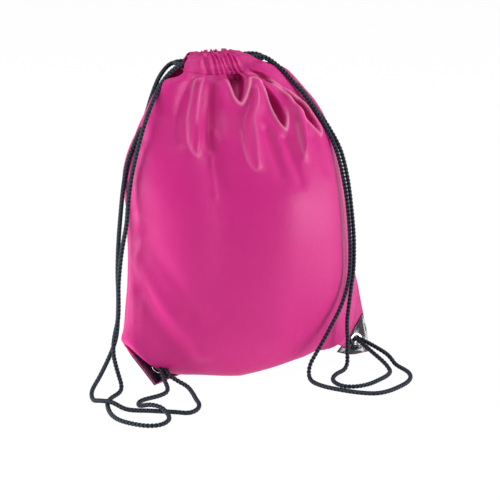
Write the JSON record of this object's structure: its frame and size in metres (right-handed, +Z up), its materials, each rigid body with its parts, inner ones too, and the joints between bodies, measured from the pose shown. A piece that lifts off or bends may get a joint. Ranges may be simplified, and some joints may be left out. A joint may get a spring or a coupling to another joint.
{
  "type": "drawstring bag",
  "caption": "Bright pink drawstring bag standing full, with black vinyl corners, metal eyelets and dark braided cords that draw the mouth shut and loop down to the corners.",
  "frame": {"origin": "on the ground, midway between the two seams at half height, where the base mount is", "axes": "+Z up, front of the bag towards -Y, left cord and left corner towards -X"},
  "size_m": [0.3579, 0.2359, 0.361],
  "materials": {
    "pink_cloth": "satin woven polyester",
    "casing_cloth": "gathered satin polyester",
    "black_vinyl": "glossy coated cloth",
    "eyelet_metal": "nickel plated",
    "dark_cord": "braided polyester"
  },
  "bodies": {
    "bag": {"front_panel": "pink_cloth", "back_panel": "pink_cloth", "left_seam_allowance": "pink_cloth", "right_seam_allowance": "pink_cloth", "bottom_seam_allowance": "pink_cloth", "front_casing": "casing_cloth", "back_casing": "casing_cloth", "left_front_patch": "black_vinyl", "left_back_patch": "black_vinyl", "right_front_patch": "black_vinyl", "right_back_patch": "black_vinyl", "left_eyelet": "eyelet_metal", "left_washer": "eyelet_metal", "right_eyelet": "eyelet_metal", "right_washer": "eyelet_metal", "left_front_strand": "dark_cord", "left_back_strand": "dark_cord", "right_front_strand": "dark_cord", "right_back_strand": "dark_cord", "left_knot": "dark_cord", "right_knot": "dark_cord"},
    "left_cord": {"left_cord_loop": "dark_cord"},
    "right_cord": {"right_cord_loop": "dark_cord"}
  },
  "joints": [
    {"name": "left_cord_slide", "type": "slide", "parent": "bag", "child": "left_cord", "axis": [-1, 0, 0], "range_m": [-0.004, 0.007], "deforming": ["left_front_strand", "left_back_strand"]},
    {"name": "right_cord_slide", "type": "slide", "parent": "bag", "child": "right_cord", "axis": [1, 0, 0], "range_m": [-0.004, 0.007], "deforming": ["right_front_strand", "right_back_strand"]}
  ]
}
